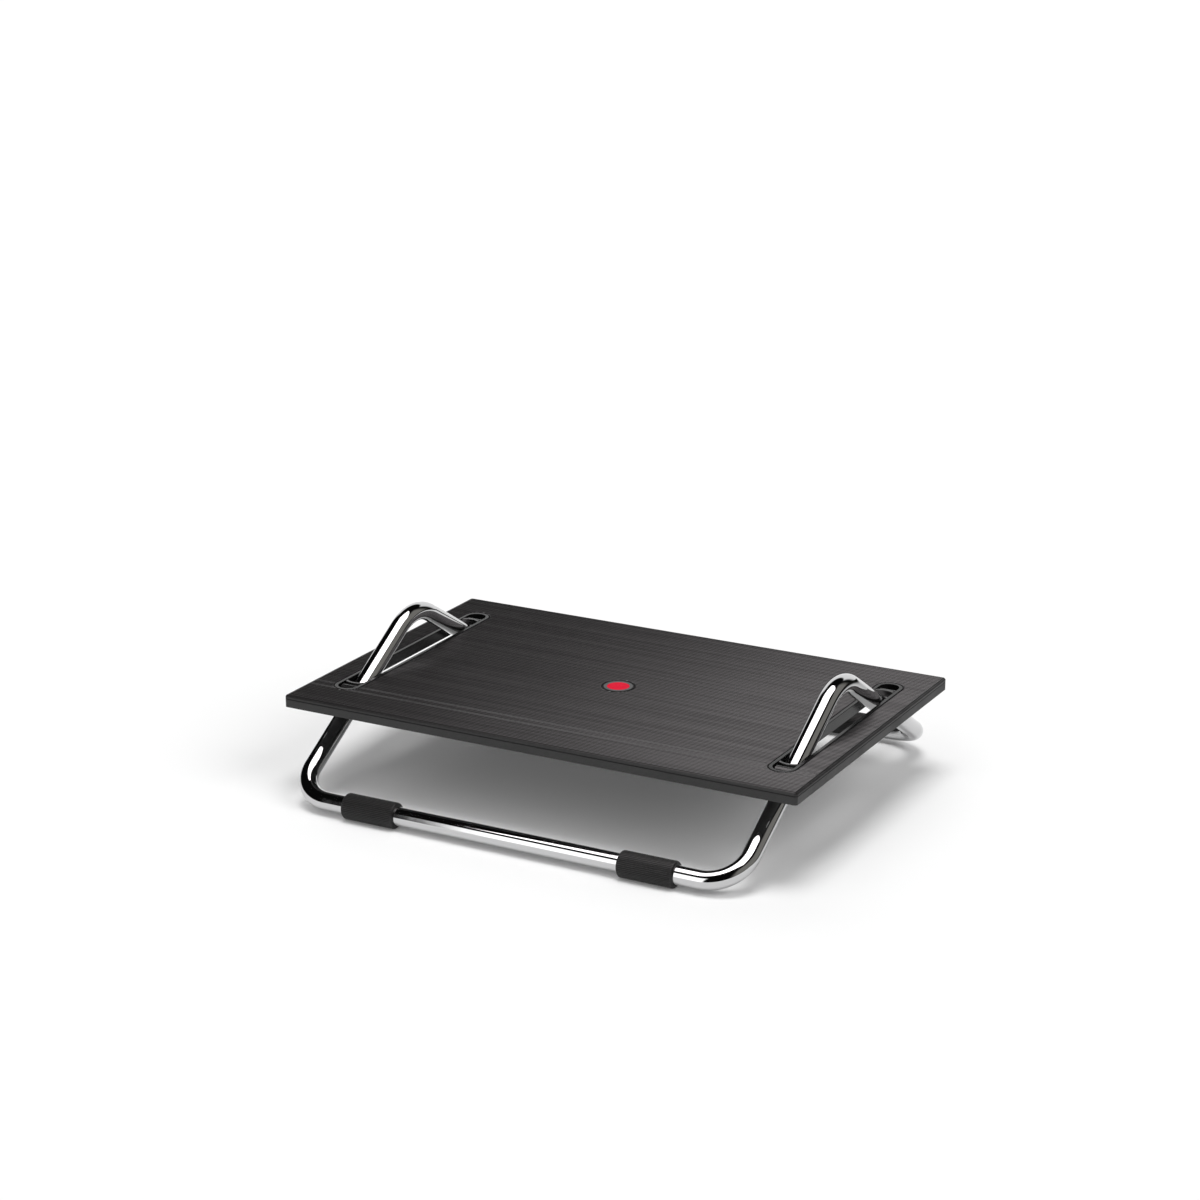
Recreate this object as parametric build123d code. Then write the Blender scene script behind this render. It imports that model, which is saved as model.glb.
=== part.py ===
from build123d import *
import math
import os

# Footrest: a thin rectangular plate that rocks on one bent tube.
# Millimetres. X runs along the plate's long side, Y from front to back, Z up.
# The origin is on the floor, below the middle of the plate.

# Frame tube, bent to a closed loop: two floor bars and four sloping legs
tube_diameter = 18.0
tube_wall = 1.5
leg_inset = 38.0  # from the plate's side edge in to a leg's plane
bar_overhang = 41.0  # from the plate's front or rear edge out to a bar's axis
leg_angle = 31.0  # slope of a leg above the floor, degrees
bend_radius = 36.0  # on the tube's axis, from bar to leg
arch_radius = 55.0  # on the tube's axis, over the plate
butt_gap = 0.6  # between the tube's two ends in the rear bar
plug_length = 60.0
plug_chamfer = 1.0
press_clearance = 0.05  # radial, for a piece pushed into or onto another

# Rubber feet: ribbed sleeves on the floor bars
foot_wall = 3.5
foot_length = 56.0
foot_inset = 86.0  # from a leg's plane in to the middle of a foot
foot_end_round = 2.5
foot_sole_depth = 0.3  # the sleeve is flattened by this much below
foot_groove_radius = 0.6
foot_groove_count = 40  # round a full turn
foot_sole_angle = 50.0  # stays free of grooves, centred on the floor side

# Plate: a textured panel on a ribbed base
plate_width = 540.0
plate_depth = 350.0
plate_corner_radius = 3.0
panel_thickness = 4.0
panel_edge_round = 2.2
base_height = 8.0
base_joint_chamfer = 0.5  # shadow line between panel and base
base_skin = 2.4
base_wall = 3.0
rib_thickness = 2.4
rib_spacing_x = 60.0
rib_spacing_y = 70.0
rib_columns = 6
rib_rows = 4

# Slots for the legs, their liners and rims
slot_inset = 44.0  # from the plate's front or rear edge to a slot's end
slot_side_clearance = 0.8  # each side of the tube
slot_pocket = 7.7  # left open beyond each saddle
liner_wall = 1.6
liner_setback = 1.0  # liner's lower edge above the base's underside
rim_width = 3.4  # let into the panel, flush with its top
rim_thickness = 1.6
rim_round = 0.35
rim_groove = 0.5  # gap round the rim
collar_width = 8.0  # solid base round each liner
collar_chamfer = 1.2  # lower edge of the base's slot

# Saddles: barrels on pins, with a curved lip, on the upper side of the legs
pin_diameter = 4.0
pin_cover = 0.7  # base left between a pin and the panel
pin_grip = 5.0  # length of the pin inside the collar, each side
pin_clearance = 0.05  # radial, saddle on pin
barrel_radius = 5.4
barrel_chamfer = 1.0
barrel_side_clearance = 0.6
lip_radius = 15.0  # middle of the lip, seen from above
lip_thickness = 3.0
lip_reach = 5.0  # from the pin to the lip's middle, towards the plate's middle
lip_drop = 0.1  # below the plate's top
lip_round = 0.4
saddle_web = 1.0  # between the pin's bore and the saddle's hollow
saddle_clearance = 1.5  # to the tube with the plate level

# Screws that hold the base to the panel
screw_columns = 4
screw_rows = 2
screw_inset = 16.0  # from the plate's edges
screw_diameter = 3.5
screw_head_diameter = 7.0
screw_head_height = 2.4
screw_head_recess = 3.0  # depth of the counterbore
screw_cover = 1.2  # panel left above a screw's tip
screw_slot_width = 1.0
screw_slot_depth = 1.2
screw_clearance = 0.2  # radial, in the base
boss_diameter = 12.0

# Badge: a ring plug with a plain disc, held by a clip below
badge_diameter = 31.0
badge_floor = 0.8  # plug left under the disc
badge_groove = 0.6  # radial gap round the plug
disc_diameter = 22.0
disc_thickness = 0.8
stem_diameter = 8.0
clip_diameter = 18.0
clip_thickness = 1.0
clip_tail = 2.0  # stem below the clip
clip_clearance = 1.0  # radial, between the clip and the base's ribs

cut_overshoot = 1.0  # a cut runs this far past the face that it opens

# Sizes that follow
tube_radius = tube_diameter / 2
bore_radius = tube_radius - tube_wall
pin_radius = pin_diameter / 2
leg_slope = math.radians(leg_angle)
leg_x = plate_width / 2 - leg_inset
bar_y = plate_depth / 2 + bar_overhang
foot_x = leg_x - foot_inset
foot_radius = tube_radius + press_clearance + foot_wall
bar_height = foot_radius - foot_sole_depth
apex_height = bar_height + bar_y * math.tan(leg_slope)

slot_length = plate_depth - 2 * slot_inset
slot_width = tube_diameter + 2 * slot_side_clearance
liner_length = slot_length + 2 * liner_wall
liner_width = slot_width + 2 * liner_wall
liner_hole_length = liner_length + 2 * press_clearance
liner_hole_width = liner_width + 2 * press_clearance
rim_length = slot_length + 2 * rim_width
rim_breadth = slot_width + 2 * rim_width

pivot_y = slot_length / 2 - slot_pocket - barrel_radius
pivot_depth = panel_thickness + pin_cover + pin_radius
pivot_lift = tube_radius + saddle_clearance + saddle_web + pin_clearance + pin_radius
pivot_height = bar_height + (bar_y - pivot_y) * math.tan(leg_slope) + pivot_lift / math.cos(leg_slope)

plate_top = pivot_height + pivot_depth
panel_bottom = plate_top - panel_thickness
base_bottom = panel_bottom - base_height
skin_bottom = panel_bottom - base_skin

rim_bottom = plate_top - rim_thickness
rib_height = skin_bottom - base_bottom
screw_tip = plate_top - screw_cover
disc_bottom = plate_top - disc_thickness
badge_bottom = disc_bottom - badge_floor
stem_hole_radius = stem_diameter / 2 + press_clearance

sides = {"left": -1, "right": 1}
ends = {"front": -1, "rear": 1}


def slot_prism(length, width, side, bottom, top):
    """Upright prism with the outline of a leg slot on one side of the plate."""
    outline = Pos(side * leg_x, 0, bottom) * SlotOverall(length, width, rotation=90)
    return extrude(outline, amount=top - bottom)


def plate_prism(bottom, top):
    """The plate's outline, with rounded corners, between two heights."""
    outline = RectangleRounded(plate_width, plate_depth, plate_corner_radius)
    return extrude(Pos(0, 0, bottom) * outline, amount=top - bottom)


def x_cylinder(radius, length, x, y, z):
    """Cylinder along X, centred on a point."""
    return Pos(x, y, z) * Rot(0, 90, 0) * Cylinder(radius, length)


def z_cylinder(radius, x, y, bottom, top):
    """Upright cylinder between two heights."""
    return Pos(x, y, (bottom + top) / 2) * Cylinder(radius, top - bottom)


def screw_points():
    """Middles of the screws, in rows along the front and rear edges."""
    x_step = (plate_width - 2 * screw_inset) / (screw_columns - 1)
    y_step = (plate_depth - 2 * screw_inset) / (screw_rows - 1)
    return [place.position for place in GridLocations(x_step, y_step, screw_columns, screw_rows)]


def make_frame_tube():
    """One tube from the middle of the rear bar, round the loop and back."""
    corners = [
        (butt_gap / 2, bar_y, bar_height),
        (leg_x, bar_y, bar_height),
        (leg_x, 0, apex_height),
        (leg_x, -bar_y, bar_height),
        (-leg_x, -bar_y, bar_height),
        (-leg_x, 0, apex_height),
        (-leg_x, bar_y, bar_height),
        (-butt_gap / 2, bar_y, bar_height),
    ]
    radii = [bend_radius, arch_radius, bend_radius, bend_radius, arch_radius, bend_radius]
    axis = FilletPolyline(*corners, radius=radii)
    start = Plane(origin=axis @ 0, z_dir=axis % 0)
    return sweep(start * (Circle(tube_radius) - Circle(bore_radius)), path=axis)


def make_splice_plug():
    """Plug inside the tube's butt joint."""
    plug = x_cylinder(bore_radius - press_clearance, plug_length, 0, bar_y, bar_height)
    return chamfer(plug.edges(), plug_chamfer)


def make_foot(side, end):
    """Ribbed sleeve on a floor bar, with a flat sole."""
    half_sole = foot_sole_angle / 2
    turn = (360 - foot_sole_angle) / (foot_groove_count - 1)
    outline = Circle(foot_radius)
    for index in range(foot_groove_count):
        angle = math.radians(-90 + half_sole + index * turn)
        groove_y = foot_radius * math.cos(angle)
        groove_z = foot_radius * math.sin(angle)
        outline -= Pos(groove_y, groove_z) * Circle(foot_groove_radius)
    ribbed = extrude(Plane.YZ.offset(-foot_length / 2) * outline, amount=foot_length)
    body = x_cylinder(foot_radius, foot_length, 0, 0, 0)
    body = fillet(body.edges(), foot_end_round)
    cut_length = foot_length + 2 * cut_overshoot
    foot_diameter = 2 * foot_radius
    above_sole = Pos(0, 0, foot_sole_depth) * Box(cut_length, foot_diameter + cut_overshoot, foot_diameter)
    bore = x_cylinder(tube_radius + press_clearance, cut_length, 0, 0, 0)
    foot = (ribbed & body & above_sole) - bore
    return Pos(side * foot_x, end * bar_y, bar_height) * foot


def make_tread_panel():
    """Flat top panel with the slots, the rims' recesses and the badge's recess."""
    panel = plate_prism(panel_bottom, plate_top)
    panel = fillet(panel.faces().sort_by(Axis.Z)[-1].edges(), panel_edge_round)
    below = panel_bottom - cut_overshoot
    above = plate_top + cut_overshoot
    for side in sides.values():
        panel -= slot_prism(liner_hole_length, liner_hole_width, side, below, above)
        recess_length = rim_length + 2 * rim_groove
        recess_breadth = rim_breadth + 2 * rim_groove
        panel -= slot_prism(recess_length, recess_breadth, side, rim_bottom, above)
    recess_radius = badge_diameter / 2 + badge_groove
    panel -= z_cylinder(recess_radius, 0, 0, badge_bottom, above)
    panel -= z_cylinder(stem_hole_radius, 0, 0, below, plate_top)
    for point in screw_points():
        panel -= z_cylinder(screw_diameter / 2, point.X, point.Y, below, screw_tip)
    return panel


def make_base_plate():
    """Moulding under the panel: skin, edge wall, ribs, slot collars and screw bosses."""
    base = plate_prism(base_bottom, panel_bottom)
    base = chamfer(base.faces().sort_by(Axis.Z)[-1].edges(), base_joint_chamfer)
    below = base_bottom - cut_overshoot
    above = panel_bottom + cut_overshoot
    inner_width = plate_width - 2 * base_wall
    inner_depth = plate_depth - 2 * base_wall
    rib_middle = Pos(0, 0, base_bottom + rib_height / 2)
    cavity = rib_middle * Box(inner_width, inner_depth, rib_height)
    stiffening = Part()
    for place in GridLocations(rib_spacing_x, 0, rib_columns, 1):
        stiffening += rib_middle * place * Box(rib_thickness, plate_depth, base_height)
    for place in GridLocations(0, rib_spacing_y, 1, rib_rows):
        stiffening += rib_middle * place * Box(plate_width, rib_thickness, base_height)
    for side in sides.values():
        collar_length = liner_length + 2 * collar_width
        collar_outline = liner_width + 2 * collar_width
        stiffening += slot_prism(collar_length, collar_outline, side, below, above)
    for point in screw_points():
        stiffening += z_cylinder(boss_diameter / 2, point.X, point.Y, below, above)
    stiffening -= z_cylinder(clip_diameter / 2 + clip_clearance, 0, 0, below, above)
    base -= cavity - stiffening
    for side in sides.values():
        base -= slot_prism(liner_hole_length, liner_hole_width, side, below, above)
        mouth_length = liner_hole_length + 2 * collar_chamfer
        mouth_width = liner_hole_width + 2 * collar_chamfer
        mouth = Pos(side * leg_x, 0, base_bottom) * SlotOverall(mouth_length, mouth_width, rotation=90)
        base -= extrude(mouth, amount=collar_chamfer, taper=45)
        for end in ends.values():
            base -= make_pivot_pin(side, end)
    for point in screw_points():
        hole_radius = screw_diameter / 2 + screw_clearance
        head_radius = screw_head_diameter / 2 + screw_clearance
        base -= z_cylinder(hole_radius, point.X, point.Y, below, above)
        base -= z_cylinder(head_radius, point.X, point.Y, below, base_bottom + screw_head_recess)
    return base - z_cylinder(stem_hole_radius, 0, 0, below, above)


def make_slot_liner(side):
    """Lining of a leg slot, with a rim let into the panel."""
    rim = slot_prism(rim_length, rim_breadth, side, rim_bottom, plate_top)
    wall = slot_prism(liner_length, liner_width, side, base_bottom + liner_setback, plate_top)
    slot = slot_prism(slot_length, slot_width, side, base_bottom, plate_top + cut_overshoot)
    liner = rim + wall - slot
    liner = fillet(liner.faces().sort_by(Axis.Z)[-1].edges(), rim_round)
    for end in ends.values():
        liner -= make_pivot_pin(side, end)
    return liner


def make_pivot_pin(side, end):
    """Pin across a slot, held in the liner and the collar."""
    pin_length = liner_width + 2 * pin_grip
    return x_cylinder(pin_radius, pin_length, side * leg_x, end * pivot_y, pivot_height)


def make_lip(x, end, breadth):
    """Upright curved wall across a slot, bowed towards the slot's end."""
    lip_y = end * (pivot_y - lip_reach)
    bow_centre = Pos(x, lip_y - end * lip_radius, 0)
    bow = Circle(lip_radius + lip_thickness / 2) - Circle(lip_radius - lip_thickness / 2)
    strip = Pos(x, lip_y, 0) * Rectangle(breadth, lip_radius)
    lip_bottom = pivot_height - barrel_radius
    lip_height = plate_top - lip_drop - lip_bottom
    lip = extrude(Pos(0, 0, lip_bottom) * ((bow_centre * bow) & strip), amount=lip_height)
    return fillet(lip.faces().sort_by(Axis.Z)[-1].edges(), lip_round)


def make_saddle(side, end):
    """Barrel on its pin, with a curved lip, hollowed to lie along the upper side of a leg."""
    x = side * leg_x
    barrel_length = slot_width - 2 * barrel_side_clearance
    barrel = x_cylinder(barrel_radius, barrel_length, x, end * pivot_y, pivot_height)
    barrel = chamfer(barrel.edges().filter_by(GeomType.CIRCLE), barrel_chamfer)
    saddle = barrel + make_lip(x, end, barrel_length)
    leg = Line((x, end * bar_y, bar_height), (x, 0, apex_height))
    leg_middle = Plane(origin=leg @ 0.5, z_dir=leg % 0.5)
    saddle -= leg_middle * Cylinder(tube_radius + saddle_clearance, leg.length)
    bore_length = barrel_length + 2 * cut_overshoot
    return saddle - x_cylinder(pin_radius + pin_clearance, bore_length, x, end * pivot_y, pivot_height)


def make_plate_screws():
    """The screws, heads sunk in the underside of the base."""
    screws = []
    for point in screw_points():
        head_top = base_bottom + screw_head_recess
        head_bottom = head_top - screw_head_height
        head = z_cylinder(screw_head_diameter / 2, point.X, point.Y, head_bottom, head_top)
        shank = z_cylinder(screw_diameter / 2, point.X, point.Y, head_top, screw_tip)
        slot = Box(screw_head_diameter, screw_slot_width, 2 * screw_slot_depth)
        cross = slot + Rot(0, 0, 90) * slot
        screws.append(head + shank - Pos(point.X, point.Y, head_bottom) * cross)
    return Compound(children=screws)


def make_badge_plug():
    """Smooth ring plug in the panel, with a stem for the clip."""
    plug = z_cylinder(badge_diameter / 2, 0, 0, badge_bottom, plate_top)
    disc_seat_radius = disc_diameter / 2 + press_clearance
    plug -= z_cylinder(disc_seat_radius, 0, 0, disc_bottom, plate_top + cut_overshoot)
    stem_end = skin_bottom - clip_thickness - clip_tail
    return plug + z_cylinder(stem_diameter / 2, 0, 0, stem_end, badge_bottom)


def make_badge_disc():
    """Plain disc let into the plug, flush with the plate."""
    return z_cylinder(disc_diameter / 2, 0, 0, disc_bottom, plate_top)


def make_badge_clip():
    """Push-on clip on the plug's stem, under the base's skin."""
    clip_bottom = skin_bottom - clip_thickness
    clip = z_cylinder(clip_diameter / 2, 0, 0, clip_bottom, skin_bottom)
    return clip - z_cylinder(stem_hole_radius, 0, 0, clip_bottom - cut_overshoot, skin_bottom + cut_overshoot)


pieces = {
    "frame_tube": make_frame_tube(),
    "splice_plug": make_splice_plug(),
    "tread_panel": make_tread_panel(),
    "base_plate": make_base_plate(),
    "plate_screws": make_plate_screws(),
    "badge_plug": make_badge_plug(),
    "badge_disc": make_badge_disc(),
    "badge_clip": make_badge_clip(),
}
for side_name, side in sides.items():
    pieces[f"slot_liner_{side_name}"] = make_slot_liner(side)
    for end_name, end in ends.items():
        place_name = f"{end_name}_{side_name}"
        pieces[f"foot_{place_name}"] = make_foot(side, end)
        pieces[f"pivot_pin_{place_name}"] = make_pivot_pin(side, end)
        pieces[f"saddle_{place_name}"] = make_saddle(side, end)

os.makedirs("parts", exist_ok=True)
for name, piece in pieces.items():
    export_step(piece, f"parts/{name}.step")

hinge_height = pivot_height - pivot_y / math.tan(leg_slope)
print(f"plate top {plate_top:.3f}  base bottom {base_bottom:.3f}  pivot height {pivot_height:.4f}")
print(f"tilt axis at y 0, z {hinge_height:.4f}; swing radius {pivot_y / math.sin(leg_slope):.3f}")
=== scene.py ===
import math

import bmesh
import bpy
from mathutils import Matrix, Vector
from mathutils.geometry import delaunay_2d_cdt


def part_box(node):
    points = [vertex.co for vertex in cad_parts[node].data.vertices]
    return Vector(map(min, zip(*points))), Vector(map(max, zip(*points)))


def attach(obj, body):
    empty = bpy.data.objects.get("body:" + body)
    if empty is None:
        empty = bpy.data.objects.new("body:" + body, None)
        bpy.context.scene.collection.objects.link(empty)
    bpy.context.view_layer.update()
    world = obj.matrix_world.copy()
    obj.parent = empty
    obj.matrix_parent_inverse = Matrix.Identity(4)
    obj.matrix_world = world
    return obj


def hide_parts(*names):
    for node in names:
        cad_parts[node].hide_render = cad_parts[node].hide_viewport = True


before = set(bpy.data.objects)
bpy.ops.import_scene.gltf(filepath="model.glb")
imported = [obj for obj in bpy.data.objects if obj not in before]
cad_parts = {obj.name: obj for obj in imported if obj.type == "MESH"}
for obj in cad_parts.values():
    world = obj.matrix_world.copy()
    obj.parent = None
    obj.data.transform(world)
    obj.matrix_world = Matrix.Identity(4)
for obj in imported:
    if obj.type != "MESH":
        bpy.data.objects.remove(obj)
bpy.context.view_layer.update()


# Studio: a pale paper floor under a soft lamp overhead and five weaker ones
# round it. The camera sees white behind it; shiny surfaces see softboxes, a
# grey backdrop and a warm wall in a dark room instead of the lamps.
WHITE = (1, 1, 1, 1)
ROOM_LEVEL = 0.004
BACKDROP_LEVEL = 1.05
FRONT_BOX_LEVEL = 2.2
SIDE_WALL_LEVEL = 0.25
SIDE_WALL_COLOUR = (1.0, 0.97, 0.90, 1)


def put(tree, kind, sockets=None, **settings):
    """Adds a node; a socket given as a value is linked, anything else is its setting."""
    node = tree.nodes.new(kind)
    for name, value in settings.items():
        setattr(node, name, value)
    for name, value in (sockets or {}).items():
        if isinstance(value, bpy.types.NodeSocket):
            tree.links.new(value, node.inputs[name])
        else:
            node.inputs[name].default_value = value
    return node


def maths(tree, operation, first, second=0.0):
    """One step of arithmetic between two values or sockets."""
    return put(tree, "ShaderNodeMath", {0: first, 1: second}, operation=operation).outputs[0]


def ramp(tree, value, start, end, low=0.0, high=1.0):
    """Soft step from low to high between two values."""
    sockets = {"Value": value, "From Min": start, "From Max": end, "To Min": low, "To Max": high}
    return put(tree, "ShaderNodeMapRange", sockets, interpolation_type="SMOOTHSTEP").outputs[0]


world = bpy.data.worlds.new("studio")
bpy.context.scene.world = world
world.use_nodes = True
world.cycles.sampling_method = "NONE"
sky = world.node_tree
sky.nodes.clear()
direction = put(sky, "ShaderNodeTexCoord").outputs["Generated"]
x, y, z = put(sky, "ShaderNodeSeparateXYZ", {0: direction}).outputs
bearing = maths(sky, "ARCTAN2", x, y)


def lit_patch(level, *edges):
    """A lit patch of the studio: level times the soft step of each (value, start, end)."""
    patch = level
    for value, start, end in edges:
        patch = maths(sky, "MULTIPLY", patch, ramp(sky, value, start, end))
    return patch


backdrop = lit_patch(
    BACKDROP_LEVEL, (bearing, -1.05, -0.90), (bearing, 0.40, 0.20), (z, 0.54, 0.46)
)
side_wall = lit_patch(
    SIDE_WALL_LEVEL, (bearing, 0.45, 0.65), (bearing, 2.5, 2.2), (z, 0.75, 0.6)
)
front_box = lit_patch(
    FRONT_BOX_LEVEL, (x, -0.505, -0.475), (x, -0.12, -0.22), (y, -0.2, -0.3), (z, 0.66, 0.62)
)
room = maths(sky, "MAXIMUM", maths(sky, "MAXIMUM", ROOM_LEVEL, backdrop), front_box)
grey_room = put(sky, "ShaderNodeBackground", {"Color": room})
warm_wall = put(sky, "ShaderNodeBackground", {"Color": SIDE_WALL_COLOUR, "Strength": side_wall})
reflected = put(sky, "ShaderNodeAddShader", {0: grey_room.outputs[0], 1: warm_wall.outputs[0]})
white = put(sky, "ShaderNodeBackground", {"Color": WHITE, "Strength": 1.0})
seen = put(sky, "ShaderNodeLightPath").outputs
hidden = put(sky, "ShaderNodeMixShader", {0: seen["Is Glossy Ray"], 2: reflected.outputs[0]})
shown = put(
    sky,
    "ShaderNodeMixShader",
    {0: seen["Is Camera Ray"], 1: hidden.outputs[0], 2: white.outputs[0]},
)
put(sky, "ShaderNodeOutputWorld", {"Surface": shown.outputs[0]})

for name, strength, spread_deg, bearing_deg, elevation_deg in (
    ("top_light", 1.48, 30, 0, 90),
    ("right_light", 1.237, 40, 90, 38),
    ("front_light", 0.531, 40, 180, 38),
    ("rear_left_light", 0.375, 40, 315, 38),
    ("front_left_light", 0.364, 40, 225, 60),
    ("rear_light", 0.232, 40, 0, 38),
):
    lamp = bpy.data.lights.new(name, "SUN")
    lamp.energy = strength
    lamp.angle = math.radians(spread_deg)
    lamp_object = bpy.data.objects.new(name, lamp)
    lamp_object.rotation_euler = (
        math.radians(90 - elevation_deg), 0, math.radians(180 - bearing_deg)
    )
    lamp_object.visible_glossy = False
    bpy.context.collection.objects.link(lamp_object)


def bare_material(name):
    """Material with no nodes yet."""
    material = bpy.data.materials.new(name)
    material.use_nodes = True
    material.node_tree.nodes.clear()
    return material


def flat_piece(name, outline, height, material):
    """Flat piece of the studio, from its outline in plan."""
    mesh = bpy.data.meshes.new(name)
    bm = bmesh.new()
    bm.faces.new([bm.verts.new((x, y, height)) for x, y in outline])
    bm.to_mesh(mesh)
    bm.free()
    mesh.materials.append(material)
    piece = bpy.data.objects.new(name, mesh)
    bpy.context.collection.objects.link(piece)
    return piece


SOFTBOX_HEIGHT = 1.5
SOFTBOX_OUTLINE = (
    (-0.90, -0.80), (1.0, -0.80), (1.0, 0.80), (-0.2, 0.80), (-0.62, 0.25), (-0.61, 0.0)
)
CLOTH_COLOUR = (1.0, 0.95, 0.962, 1)
CLOTH_LEVEL = 3.7
cloth = bare_material("softbox_cloth")
cloth.cycles.emission_sampling = "NONE"
tree = cloth.node_tree
lit_cloth = put(tree, "ShaderNodeEmission", {"Color": CLOTH_COLOUR, "Strength": CLOTH_LEVEL})
put(tree, "ShaderNodeOutputMaterial", {"Surface": lit_cloth.outputs[0]})
softbox_object = flat_piece("overhead_softbox", SOFTBOX_OUTLINE, SOFTBOX_HEIGHT, cloth)
softbox_object.visible_camera = False
softbox_object.visible_diffuse = False
softbox_object.visible_shadow = False

FLOOR_REACH = 30.0
FLOOR_OUTLINE = (
    (-FLOOR_REACH, -FLOOR_REACH),
    (FLOOR_REACH, -FLOOR_REACH),
    (FLOOR_REACH, FLOOR_REACH),
    (-FLOOR_REACH, FLOOR_REACH),
)
PAPER_COLOUR = (0.9, 0.9, 0.9, 1)
PAPER_GLOW = 0.091
# Painted reflection: glossy rays see a dark floor right of and behind the plate, while the camera
# and matt surfaces still see white paper there.
PAINTED_REFLECTION_COLOUR = (0.012, 0.012, 0.011, 1)
DARK_REFLECTION_X = (0.30, 0.55)
DARK_REFLECTION_Y = (-0.15, 0.05)
paper = bare_material("studio_floor")
tree = paper.node_tree
matt = put(tree, "ShaderNodeBsdfDiffuse", {"Color": PAPER_COLOUR})
glow = put(tree, "ShaderNodeEmission", {"Color": WHITE, "Strength": PAPER_GLOW})
lifted = put(tree, "ShaderNodeAddShader", {0: matt.outputs[0], 1: glow.outputs[0]})
place = put(tree, "ShaderNodeTexCoord").outputs["Object"]
x, y, z = put(tree, "ShaderNodeSeparateXYZ", {0: place}).outputs
# Painted reflection: the dark floor is shown to glossy rays only and fades in towards the right and
# the rear.
dark_reflection_area = maths(tree, "MULTIPLY", ramp(tree, x, *DARK_REFLECTION_X), ramp(tree, y, *DARK_REFLECTION_Y))
glossy = put(tree, "ShaderNodeLightPath").outputs["Is Glossy Ray"]
dark_reflection_share = maths(tree, "MULTIPLY", dark_reflection_area, glossy)
painted_reflection = put(tree, "ShaderNodeEmission", {"Color": PAINTED_REFLECTION_COLOUR, "Strength": 1.0})
sheet = put(
    tree, "ShaderNodeMixShader", {0: dark_reflection_share, 1: lifted.outputs[0], 2: painted_reflection.outputs[0]}
)
put(tree, "ShaderNodeOutputMaterial", {"Surface": sheet.outputs[0]})
floor = flat_piece("floor", FLOOR_OUTLINE, 0, paper)

CAMERA_LENS = 86.02
CAMERA_SENSOR = 36.0
CAMERA_PLACE = Vector((1.22989, -2.31289, 1.01661))
CAMERA_AIM = Vector((-0.02016, 0.0, 0.17807))
camera_data = bpy.data.cameras.new("camera")
camera_data.lens = CAMERA_LENS
camera_data.sensor_width = CAMERA_SENSOR
camera = bpy.data.objects.new("camera", camera_data)
camera.location = CAMERA_PLACE
camera.rotation_euler = (CAMERA_AIM - CAMERA_PLACE).to_track_quat("-Z", "Y").to_euler()
bpy.context.collection.objects.link(camera)
bpy.context.scene.camera = camera
bpy.context.scene.view_settings.view_transform = "Standard"


# Frame tube: one chromed steel tube bent to a closed loop, its ends butted in
# the middle of the rear bar. It is drawn along the straights, spun round the
# bends and given its wall; the chrome has faint smears of handling.
TUBE_RADIUS = 0.009
TUBE_WALL = 0.0015
LEG_ANGLE = math.radians(31)
BEND_RADIUS = 0.036
ARCH_RADIUS = 0.055
BUTT_GAP = 0.0006
TUBE_SIDES = 64
BEND_STEPS = 40
TUBE_CREASE = math.radians(40)

low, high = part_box("frame_tube")
leg_x = high.x - TUBE_RADIUS
bar_y = high.y - TUBE_RADIUS
bar_z = low.z + TUBE_RADIUS
apex_z = bar_z + bar_y * math.tan(LEG_ANGLE)
route = [
    (Vector((BUTT_GAP / 2, bar_y, bar_z)), 0),
    (Vector((leg_x, bar_y, bar_z)), BEND_RADIUS),
    (Vector((leg_x, 0, apex_z)), ARCH_RADIUS),
    (Vector((leg_x, -bar_y, bar_z)), BEND_RADIUS),
    (Vector((-leg_x, -bar_y, bar_z)), BEND_RADIUS),
    (Vector((-leg_x, 0, apex_z)), ARCH_RADIUS),
    (Vector((-leg_x, bar_y, bar_z)), BEND_RADIUS),
    (Vector((-BUTT_GAP / 2, bar_y, bar_z)), 0),
]
bm = bmesh.new()


def only(kind, items):
    """The elements of one kind from what an operator made."""
    return [item for item in items if isinstance(item, kind)]


def drawn_out(ring, move):
    """Extrudes a ring of edges by a move and returns the ring at the far end."""
    made = bmesh.ops.extrude_edge_only(bm, edges=ring)["geom"]
    bmesh.ops.translate(bm, verts=only(bmesh.types.BMVert, made), vec=move)
    return only(bmesh.types.BMEdge, made)


def smooth_piece(name, crease):
    """Object from the closed bmesh, with faces outwards and smooth up to the crease angle."""
    bmesh.ops.recalc_face_normals(bm, faces=bm.faces)
    for face in bm.faces:
        face.smooth = True
    mesh = bpy.data.meshes.new(name)
    bm.to_mesh(mesh)
    bm.free()
    mesh.set_sharp_from_angle(angle=crease)
    piece = bpy.data.objects.new(name, mesh)
    bpy.context.collection.objects.link(piece)
    return piece


here = route[0][0]
start = bmesh.ops.create_circle(bm, segments=TUBE_SIDES, radius=TUBE_RADIUS)["verts"]
bmesh.ops.rotate(bm, verts=start, cent=(0, 0, 0), matrix=Matrix.Rotation(math.pi / 2, 3, "Y"))
bmesh.ops.translate(bm, verts=start, vec=here)
ring = bm.edges[:]
for (before, _), (corner, bend), (after, _) in zip(route, route[1:], route[2:]):
    arriving = (corner - before).normalized()
    leaving = (after - corner).normalized()
    turn = arriving.angle(leaving)
    setback = bend * math.tan(turn / 2)
    ring = drawn_out(ring, corner - arriving * setback - here)
    spun = bmesh.ops.spin(
        bm,
        geom=ring,
        cent=corner + (leaving - arriving).normalized() * bend / math.cos(turn / 2),
        axis=arriving.cross(leaving),
        angle=turn,
        steps=BEND_STEPS,
    )
    ring = only(bmesh.types.BMEdge, spun["geom_last"])
    here = corner + leaving * setback
drawn_out(ring, route[-1][0] - here)
bmesh.ops.recalc_face_normals(bm, faces=bm.faces)
bmesh.ops.solidify(bm, geom=bm.faces[:], thickness=TUBE_WALL)
tube = smooth_piece("chrome_tube", TUBE_CREASE)


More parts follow.
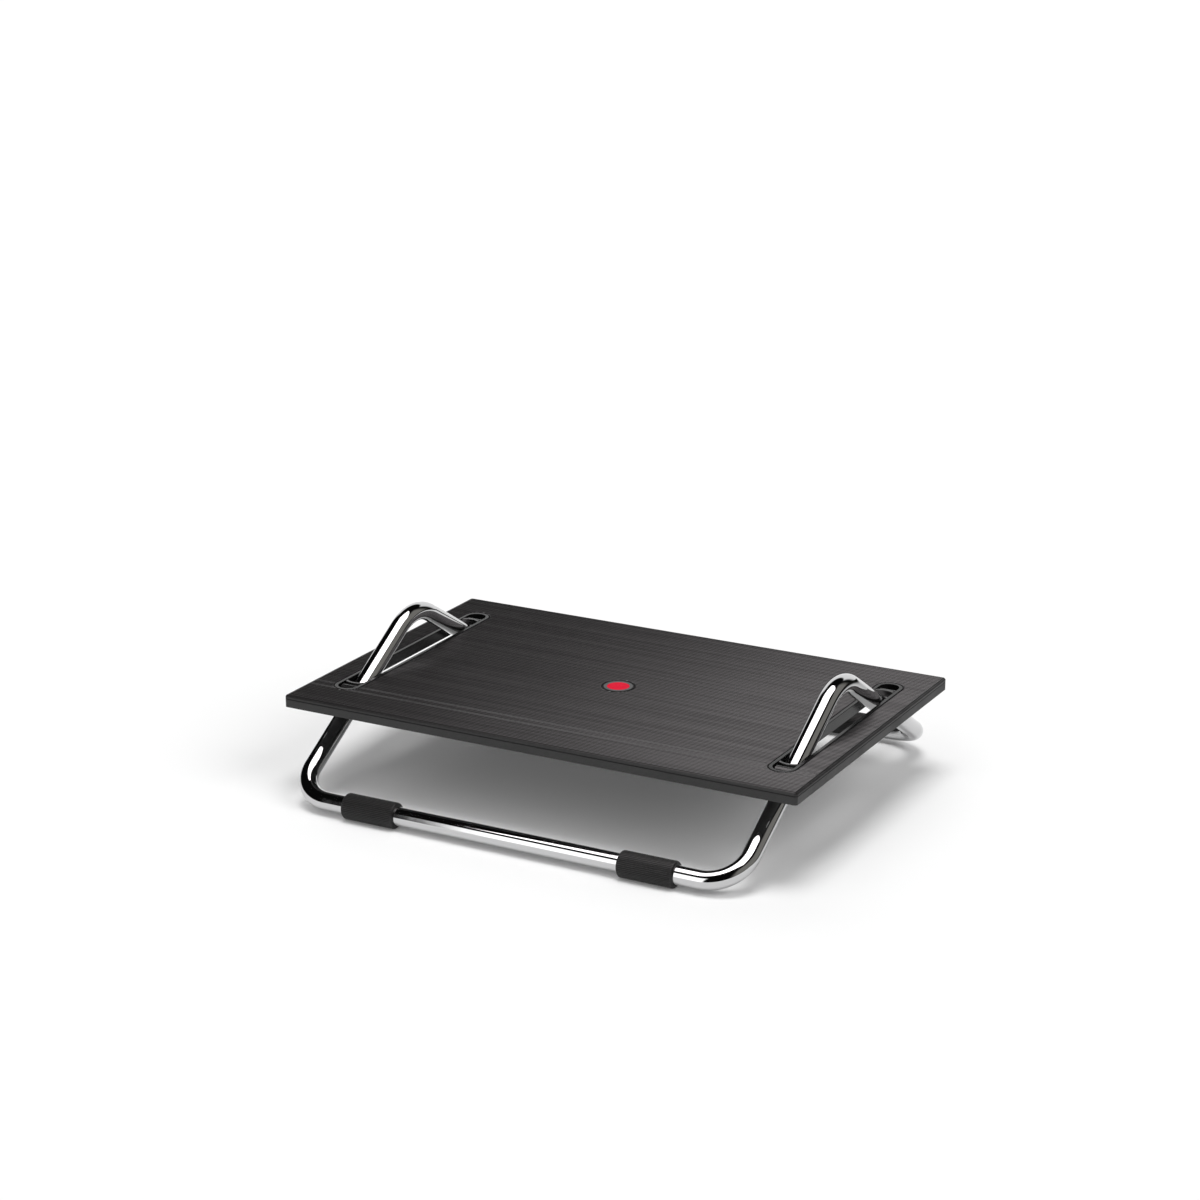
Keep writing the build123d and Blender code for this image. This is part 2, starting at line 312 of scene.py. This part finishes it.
def node_group(name, inputs, outputs):
    """Shader group with named sockets and their kinds; returns it and what it is given."""
    group = bpy.data.node_groups.new(name, "ShaderNodeTree")
    for way, sockets in (("INPUT", inputs), ("OUTPUT", outputs)):
        for socket, kind in sockets.items():
            group.interface.new_socket(socket, in_out=way, socket_type=f"NodeSocket{kind}")
    return group, put(group, "NodeGroupInput").outputs


smears, given = node_group(
    "handling_smears",
    {"Scale": "Float", "Roughness": "Float", "Spread": "Float"},
    {"Roughness": "Float"},
)
place = put(smears, "ShaderNodeTexCoord").outputs["Object"]
cloud = put(smears, "ShaderNodeTexNoise", {"Vector": place, "Scale": given["Scale"], "Detail": 5.0})
patches = ramp(smears, cloud.outputs[0], 0.45, 0.75)
extra = maths(smears, "MULTIPLY", patches, given["Spread"])
rougher = maths(smears, "ADD", extra, given["Roughness"])
put(smears, "NodeGroupOutput", {"Roughness": rougher})


def new_finish(name):
    """New material; returns it, its nodes and its shader's inputs."""
    material = bpy.data.materials.new(name)
    material.use_nodes = True
    tree = material.node_tree
    return material, tree, tree.nodes["Principled BSDF"].inputs


CHROME_COLOUR = (0.56, 0.56, 0.565, 1)
CHROME_SMEARS = {"Scale": 38.0, "Roughness": 0.035, "Spread": 0.05}
chrome, tree, shader = new_finish("bright_chrome")
shader["Metallic"].default_value = 1.0
shader["Base Color"].default_value = CHROME_COLOUR
smear = put(tree, "ShaderNodeGroup", CHROME_SMEARS, node_tree=smears)
tree.links.new(smear.outputs["Roughness"], shader["Roughness"])
tube.data.materials.append(chrome)
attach(tube, "frame")
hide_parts("frame_tube")


# Small steel parts: the splice plug in the tube, the saddles' pins, the screws
# and the badge's clip. Turned or pressed steel, zinc plated, with a fine grain.
CORNERS = ("front_left", "front_right", "rear_left", "rear_right")
CLOUD_SCALE = 9.0
PATCH_SCALE = 24.0
PATCH_SPREAD = 0.1
GRAIN_STRENGTH = 0.5


def blend(tree, share, dark, light):
    """Colour between dark and light, each a colour or a socket."""
    sockets = {0: share, 6: dark, 7: light}
    return put(tree, "ShaderNodeMix", sockets, data_type="RGBA").outputs[2]


grain, given = node_group(
    "fine_grain",
    {"Scale": "Float", "Dark": "Color", "Light": "Color"},
    {"Color": "Color", "Height": "Float"},
)
place = put(grain, "ShaderNodeTexCoord").outputs["Object"]
speck = put(grain, "ShaderNodeTexNoise", {"Vector": place, "Scale": given["Scale"], "Detail": 4.0})
cloud = put(grain, "ShaderNodeTexNoise", {"Vector": place, "Scale": CLOUD_SCALE, "Detail": 3.0})
clouded = maths(grain, "MULTIPLY", speck.outputs[0], cloud.outputs[0])
tint = blend(grain, ramp(grain, clouded, 0.12, 0.42), given["Dark"], given["Light"])
put(grain, "NodeGroupOutput", {"Color": tint, "Height": speck.outputs[0]})


def grained(name, scale, dark, light, roughness, relief, metallic=0.0, specular=0.5):
    """Material with fine grain in its colour and relief, and patchy roughness."""
    material, tree, shader = new_finish(name)
    shader["Metallic"].default_value = metallic
    shader["Specular IOR Level"].default_value = specular
    colours = {"Scale": scale, "Dark": (*dark, 1), "Light": (*light, 1)}
    fine = put(tree, "ShaderNodeGroup", colours, node_tree=grain)
    tree.links.new(fine.outputs["Color"], shader["Base Color"])
    wear = {"Scale": PATCH_SCALE, "Roughness": roughness, "Spread": PATCH_SPREAD}
    patchy = put(tree, "ShaderNodeGroup", wear, node_tree=smears)
    tree.links.new(patchy.outputs["Roughness"], shader["Roughness"])
    pits = {"Height": fine.outputs["Height"], "Strength": GRAIN_STRENGTH, "Distance": relief}
    tree.links.new(put(tree, "ShaderNodeBump", pits).outputs[0], shader["Normal"])
    return material


def finish_node(name, material):
    """Gives a solid that is shown as it is its material."""
    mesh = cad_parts[name].data
    mesh.materials.clear()
    mesh.materials.append(material)


zinc = grained(
    "zinc_steel",
    scale=900.0,
    dark=(0.42, 0.42, 0.43),
    light=(0.62, 0.62, 0.61),
    roughness=0.32,
    relief=0.00002,
    metallic=1.0,
)
for name in ("splice_plug", "plate_screws", "badge_clip"):
    finish_node(name, zinc)
for corner in CORNERS:
    finish_node(f"pivot_pin_{corner}", zinc)


# Feet: black rubber sleeves pushed onto the floor bars, ribbed lengthwise, with
# a flat sole that has no ribs. Matt, with painted shade darkening the grooves between the ribs.
SOLE_ANGLE = math.radians(50)
FOOT_GROOVES = 40
FOOT_GROOVE_SHADE = (0.002, 0.002, 0.002, 1)


def paint_shade(tree, lit_share, dark):
    """Paints shade into a grained material's colour: the dark colour where the share of light is
    low.
    """
    base_colour = tree.nodes["Principled BSDF"].inputs["Base Color"]
    plain = base_colour.links[0].from_socket
    tree.links.new(blend(tree, lit_share, dark, plain), base_colour)


rubber = grained(
    "foot_rubber",
    scale=1400.0,
    dark=(0.016, 0.016, 0.016),
    light=(0.028, 0.027, 0.027),
    roughness=0.40,
    relief=0.00003,
    specular=0.4,
)
tree = rubber.node_tree
rib_step = (math.tau - SOLE_ANGLE) / (FOOT_GROOVES - 1)
place = put(tree, "ShaderNodeTexCoord").outputs["Object"]
x, y, z = put(tree, "ShaderNodeSeparateXYZ", {0: place}).outputs
out_of_bar = maths(tree, "SUBTRACT", maths(tree, "ABSOLUTE", y), bar_y)
around = maths(tree, "ARCTAN2", out_of_bar, maths(tree, "SUBTRACT", z, bar_z))
ribs = maths(tree, "ADD", maths(tree, "DIVIDE", around, rib_step), 0.5)
# Painted shade: the colour turns to the groove shade between the ribs.
crest = ramp(tree, maths(tree, "PINGPONG", ribs, 0.5), 0.20, 0.42)
paint_shade(tree, crest, FOOT_GROOVE_SHADE)
for corner in CORNERS:
    finish_node(f"foot_{corner}", rubber)


# Tread panel: the moulded black top of the plate, with recesses for the slots'
# rims and the badge, screwed to the base plate from below. Fine grooves run
# along it under slanting dashes, with two plain lines near the front edge.
EDGE_ROUND = 0.0022
EDGE_STEPS = 8
PANEL_CORNER = 0.003
CORNER_STEPS = 10
RECESS_WIDTH = 0.0274
RECESS_LENGTH = 0.2698
RECESS_LEDGE = 0.00225
RECESS_DEPTH = 0.0016
SLOT_STEPS = 40
BADGE_GAP = 0.0006
BADGE_DEPTH = 0.0016
STEM_RADIUS = 0.00405
ROUND_STEPS = 64
GROOVE_PITCH = 0.0027
GROOVE_WIDTH = 0.00255
GROOVE_POINT = 0.0004
GROOVE_DEPTH = 0.00074
GROOVE_COUNT = 128
GROOVE_INSET = 0.0028
GROOVE_MARGIN = 0.0002
PLAIN_LINES = (-0.1338, -0.1225)
PLAIN_WIDTH = 0.0016
PANEL_CREASE = math.radians(14)
INSIDE_ONLY = 1
MERGE_DISTANCE = 1e-7

low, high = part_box("tread_panel")
liner_low, liner_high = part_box("slot_liner_right")
slot_x = (liner_low.x + liner_high.x) / 2
slot_radius = RECESS_WIDTH / 2
slot_straight = RECESS_LENGTH / 2 - slot_radius
badge_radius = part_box("badge_plug")[1].x + BADGE_GAP
bm = bmesh.new()


def closed_loop(points, z):
    """Ring of vertices and edges at one height."""
    verts = [bm.verts.new((x, y, z)) for x, y in points]
    edges = [bm.edges.new(pair) for pair in zip(verts, verts[1:] + verts[:1])]
    return verts, edges


def walled(loops):
    """Closes the walls between loops of points at their heights; returns the end rings."""
    rings = [closed_loop(points, z) for points, z in loops]
    for (verts, _), (following, _) in zip(rings, rings[1:]):
        for step in range(len(verts)):
            bm.faces.new((verts[step - 1], verts[step], following[step], following[step - 1]))
    return rings[0][1], rings[-1][1]


def panel_outline(inset):
    """Outline of the panel, moved inwards."""
    radius = PANEL_CORNER - inset
    points = []
    for quarter, (side_x, side_y) in enumerate(((1, 1), (-1, 1), (-1, -1), (1, -1))):
        centre_x = side_x * (high.x - PANEL_CORNER)
        centre_y = side_y * (high.y - PANEL_CORNER)
        for step in range(CORNER_STEPS + 1):
            angle = math.pi / 2 * (quarter + step / CORNER_STEPS)
            points.append((centre_x + radius * math.cos(angle), centre_y + radius * math.sin(angle)))
    return points


def slot_outline(x, inset):
    """Outline of a slot's recess, moved inwards."""
    radius = slot_radius - inset
    points = []
    for half_turn, centre_y in enumerate((slot_straight, -slot_straight)):
        for step in range(SLOT_STEPS + 1):
            angle = math.pi * (half_turn + step / SLOT_STEPS)
            points.append((x + radius * math.cos(angle), centre_y + radius * math.sin(angle)))
    return points


def circle(radius):
    """Ring of points round the middle of the plate."""
    turns = [math.tau * step / ROUND_STEPS for step in range(ROUND_STEPS)]
    return [(radius * math.cos(turn), radius * math.sin(turn)) for turn in turns]


shell = [(panel_outline(0), low.z)]
for step in range(EDGE_STEPS + 1):
    angle = math.pi / 2 * step / EDGE_STEPS
    inset = EDGE_ROUND * (1 - math.cos(angle))
    shell.append((panel_outline(inset), high.z - EDGE_ROUND * (1 - math.sin(angle))))
bottom_edges, top_edges = walled(shell)
for recess, hole, depth in (
    (slot_outline(-slot_x, 0), slot_outline(-slot_x, RECESS_LEDGE), RECESS_DEPTH),
    (slot_outline(slot_x, 0), slot_outline(slot_x, RECESS_LEDGE), RECESS_DEPTH),
    (circle(badge_radius), circle(STEM_RADIUS), BADGE_DEPTH),
):
    ledge_z = high.z - depth
    mouth, exit_ring = walled([(recess, high.z), (recess, ledge_z), (hole, ledge_z), (hole, low.z)])
    top_edges += mouth
    bottom_edges += exit_ring

recesses = (
    (-slot_x, slot_radius, slot_straight),
    (0, badge_radius, 0),
    (slot_x, slot_radius, slot_straight),
)
grooves = []
for index in range(GROOVE_COUNT):
    groove_y = (index - (GROOVE_COUNT - 1) / 2) * GROOVE_PITCH
    plain = any(abs(groove_y - line) < GROOVE_PITCH / 2 for line in PLAIN_LINES)
    half = (PLAIN_WIDTH if plain else GROOVE_WIDTH) / 2
    stops = [-high.x + GROOVE_INSET]
    for x, radius, straight in recesses:
        beyond = max(abs(groove_y) - half - straight, 0)
        clear = radius + GROOVE_MARGIN
        if beyond < clear:
            spread = math.sqrt(clear ** 2 - beyond ** 2)
            stops += [x - spread, x + spread]
    stops.append(high.x - GROOVE_INSET)
    for begin, end in zip(stops[::2], stops[1::2]):
        left_x = begin + GROOVE_POINT
        right_x = end - GROOVE_POINT
        outline = (
            (begin, groove_y),
            (left_x, groove_y - half),
            (right_x, groove_y - half),
            (end, groove_y),
            (right_x, groove_y + half),
            (left_x, groove_y + half),
        )
        rim, rim_edges = closed_loop(outline, high.z)
        left = bm.verts.new((left_x, groove_y, high.z - GROOVE_DEPTH))
        right = bm.verts.new((right_x, groove_y, high.z - GROOVE_DEPTH))
        bm.faces.new((rim[1], rim[2], right, left))
        bm.faces.new((rim[4], rim[5], left, right))
        for a, b, bottom in ((0, 1, left), (5, 0, left), (2, 3, right), (3, 4, right)):
            bm.faces.new((rim[a], rim[b], bottom))
        top_edges += rim_edges
        grooves.append((groove_y, half, begin, end))


def cut_away(x, y):
    """True inside a recess or a groove of the panel's top."""
    for centre_x, radius, straight in recesses:
        if math.hypot(x - centre_x, max(abs(y) - straight, 0)) < radius:
            return True
    for groove_y, half, begin, end in grooves:
        aside = abs(y - groove_y) / half
        if aside < 1 and begin + aside * GROOVE_POINT < x < end - aside * GROOVE_POINT:
            return True
    return False


top_verts = list(dict.fromkeys(vert for edge in top_edges for vert in edge.verts))
number = {vert: index for index, vert in enumerate(top_verts)}
pairs = [(number[edge.verts[0]], number[edge.verts[1]]) for edge in top_edges]
plan = [vert.co.xy for vert in top_verts]
_, _, triangles, origins, _, _ = delaunay_2d_cdt(plan, pairs, [], INSIDE_ONLY, MERGE_DISTANCE)
for triangle in triangles:
    verts = [top_verts[origins[index][0]] for index in triangle]
    middle = sum((vert.co for vert in verts), Vector()) / 3
    if not cut_away(middle.x, middle.y):
        bm.faces.new(verts)
bmesh.ops.triangle_fill(bm, edges=bottom_edges, use_beauty=True, normal=(0, 0, -1))
panel = smooth_piece("knurled_panel", PANEL_CREASE)


def plan_distance(tree, across, along):
    """Length of a way across and along the plate."""
    flat = put(tree, "ShaderNodeCombineXYZ", {0: across, 1: along}).outputs[0]
    return put(tree, "ShaderNodeVectorMath", {0: flat}, operation="LENGTH").outputs["Value"]


PANEL_DARK = (0.0055, 0.0052, 0.0053, 1)
PANEL_LIGHT = (0.0125, 0.0118, 0.0120, 1)
DASH_WAVES = (187.0, -34.0)
DASH_DEPTH = 0.00015
DASH_SHARE = 0.6
SIDE_RELIEF = 0.12
STREAK_STRETCH = (2.0, 150.0, 1.0)
# Painted shade: reach of the dark lines beside the recesses, near the edges and at the joint with
# the base plate, and how dark they get.
RECESS_SHADE = (0.0004, 0.0013)
EDGE_LINE = 0.0019
EDGE_SHADE = (0.0003, 0.0010)
EDGE_DARKEST = 0.25
JOINT_SHADE = (0.0003, 0.0008)
JOINT_DARKEST = 0.3
POLISH_REACH = (0.0017, 0.0012)
POLISH_TONE = 0.75
LEAST_GLOSS = 0.55
knurl, tree, shader = new_finish("knurled_plastic")
shader["Specular IOR Level"].default_value = 0.05
shader["Coat Roughness"].default_value = 0.34
place = put(tree, "ShaderNodeTexCoord").outputs["Object"]
x, y, z = put(tree, "ShaderNodeSeparateXYZ", {0: place}).outputs
aside_x = maths(tree, "ABSOLUTE", x)
aside_y = maths(tree, "ABSOLUTE", y)

facing = put(tree, "ShaderNodeNewGeometry").outputs["Normal"]
upward = put(tree, "ShaderNodeSeparateXYZ", {0: facing}).outputs["Z"]
knurled = ramp(tree, upward, 0.70, 0.90, SIDE_RELIEF, 1.0)
phase_x = maths(tree, "MULTIPLY", x, DASH_WAVES[0])
phase_y = maths(tree, "MULTIPLY", y, DASH_WAVES[1])
dashes = maths(tree, "PINGPONG", maths(tree, "ADD", phase_x, phase_y), 0.5)
height = maths(tree, "MULTIPLY", dashes, knurled)
bump = put(tree, "ShaderNodeBump", {"Height": height, "Strength": 1.0, "Distance": DASH_DEPTH})
tree.links.new(bump.outputs[0], shader["Normal"])

stretched = put(tree, "ShaderNodeMapping", {"Vector": place, "Scale": STREAK_STRETCH}).outputs[0]
streaky = {"Vector": stretched, "Scale": 1.0, "Detail": 2.0, "Roughness": 0.7}
streaks = ramp(tree, put(tree, "ShaderNodeTexNoise", streaky).outputs[0], 0.36, 0.64)
dash_tone = maths(tree, "MULTIPLY", dashes, 2 * DASH_SHARE)
streak_tone = maths(tree, "MULTIPLY", streaks, 1 - DASH_SHARE)
tone = maths(tree, "SUBTRACT", maths(tree, "ADD", dash_tone, streak_tone), 0.5)
tone = maths(tree, "ADD", maths(tree, "MULTIPLY", tone, knurled), 0.5)
from_lines = [
    maths(tree, "ABSOLUTE", maths(tree, "SUBTRACT", y, line)) for line in PLAIN_LINES
]
polished = ramp(tree, maths(tree, "MINIMUM", *from_lines), *POLISH_REACH, 0.0, POLISH_TONE)
tone = maths(tree, "MAXIMUM", tone, polished)

# Painted shade: colour and coat are darkened in thin lines round the recesses, along a line just
# inside the panel's edges and along its foot at the base plate.
from_badge = maths(tree, "SUBTRACT", plan_distance(tree, x, y), badge_radius)
beside = maths(tree, "SUBTRACT", aside_x, slot_x)
beyond = maths(tree, "MAXIMUM", maths(tree, "SUBTRACT", aside_y, slot_straight), 0.0)
from_slot = maths(tree, "SUBTRACT", plan_distance(tree, beside, beyond), slot_radius)
panel_lit_share = ramp(tree, maths(tree, "MINIMUM", from_badge, from_slot), *RECESS_SHADE)
from_end = maths(tree, "SUBTRACT", high.x, aside_x)
from_front = maths(tree, "SUBTRACT", high.y, aside_y)
from_line = maths(tree, "SUBTRACT", maths(tree, "MINIMUM", from_end, from_front), EDGE_LINE)
edge_lit_share = ramp(tree, maths(tree, "ABSOLUTE", from_line), *EDGE_SHADE, EDGE_DARKEST, 1.0)
panel_lit_share = maths(tree, "MULTIPLY", panel_lit_share, edge_lit_share)
joint_lit_share = ramp(tree, maths(tree, "SUBTRACT", z, low.z), *JOINT_SHADE, JOINT_DARKEST, 1.0)
panel_lit_share = maths(tree, "MULTIPLY", panel_lit_share, joint_lit_share)

tone = maths(tree, "MULTIPLY", tone, panel_lit_share)
tree.links.new(blend(tree, tone, PANEL_DARK, PANEL_LIGHT), shader["Base Color"])
gloss = maths(tree, "MULTIPLY", ramp(tree, tone, 0.0, 1.0, LEAST_GLOSS, 1.0), panel_lit_share)
tree.links.new(gloss, shader["Coat Weight"])
cloud = put(tree, "ShaderNodeTexNoise", {"Vector": place, "Scale": 7.0, "Detail": 4.0})
tree.links.new(ramp(tree, cloud.outputs[0], 0.35, 0.65, 0.5, 0.7), shader["Roughness"])
panel.data.materials.append(knurl)
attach(panel, "plate")
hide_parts("tread_panel")


# Base plate: the ribbed moulding under the panel, screwed to it from below.
# Matt black plastic with a fine moulded grain.
moulded = grained(
    "base_plastic",
    scale=700.0,
    dark=(0.008, 0.008, 0.008),
    light=(0.013, 0.013, 0.013),
    roughness=0.42,
    relief=0.00005,
)
finish_node("base_plate", moulded)


# Slot liners: smooth satin plastic linings pressed into the slots, their rims
# let into the panel.
satin = grained(
    "liner_plastic",
    scale=500.0,
    dark=(0.004, 0.004, 0.004),
    light=(0.007, 0.007, 0.007),
    roughness=0.22,
    relief=0.00001,
    specular=0.15,
)
for side in ("left", "right"):
    finish_node(f"slot_liner_{side}", satin)


# Saddles: smooth plastic shoes that pivot on the pins at the slots' ends, with a
# curved lip just below the panel's top.
shoe = grained(
    "saddle_plastic",
    scale=500.0,
    dark=(0.009, 0.009, 0.009),
    light=(0.013, 0.013, 0.013),
    roughness=0.26,
    relief=0.00001,
)
for corner in CORNERS:
    finish_node(f"saddle_{corner}", shoe)


# Badge: a smooth grey plastic plug in the middle of the panel, held by its clip
# from below, with a plain red disc let into it. A line of painted shade darkens the ring's outer
# edge, which has no gloss coat.
RING_EDGE = 0.0142
RING_EDGE_BLUR = 0.0003
RING_EDGE_SHADE = (0.004, 0.004, 0.004, 1)
RING_GLOSS = 0.42
ring = grained(
    "badge_grey",
    scale=500.0,
    dark=(0.030, 0.030, 0.031),
    light=(0.042, 0.042, 0.044),
    roughness=0.40,
    relief=0.00001,
    specular=0.04,
)
tree = ring.node_tree
shader = tree.nodes["Principled BSDF"].inputs
shader["Coat Roughness"].default_value = 0.30
place = put(tree, "ShaderNodeTexCoord").outputs["Object"]
x, y, z = put(tree, "ShaderNodeSeparateXYZ", {0: place}).outputs
from_middle = plan_distance(tree, x, y)
# Painted shade: a dark line round the ring's outer edge.
inner = ramp(tree, from_middle, RING_EDGE + RING_EDGE_BLUR, RING_EDGE - RING_EDGE_BLUR)
tree.links.new(maths(tree, "MULTIPLY", inner, RING_GLOSS), shader["Coat Weight"])
paint_shade(tree, inner, RING_EDGE_SHADE)
finish_node("badge_plug", ring)
red = grained(
    "badge_red",
    scale=600.0,
    dark=(0.64, 0.012, 0.036),
    light=(0.72, 0.016, 0.044),
    roughness=0.60,
    relief=0.000005,
    specular=0.03,
)
finish_node("badge_disc", red)
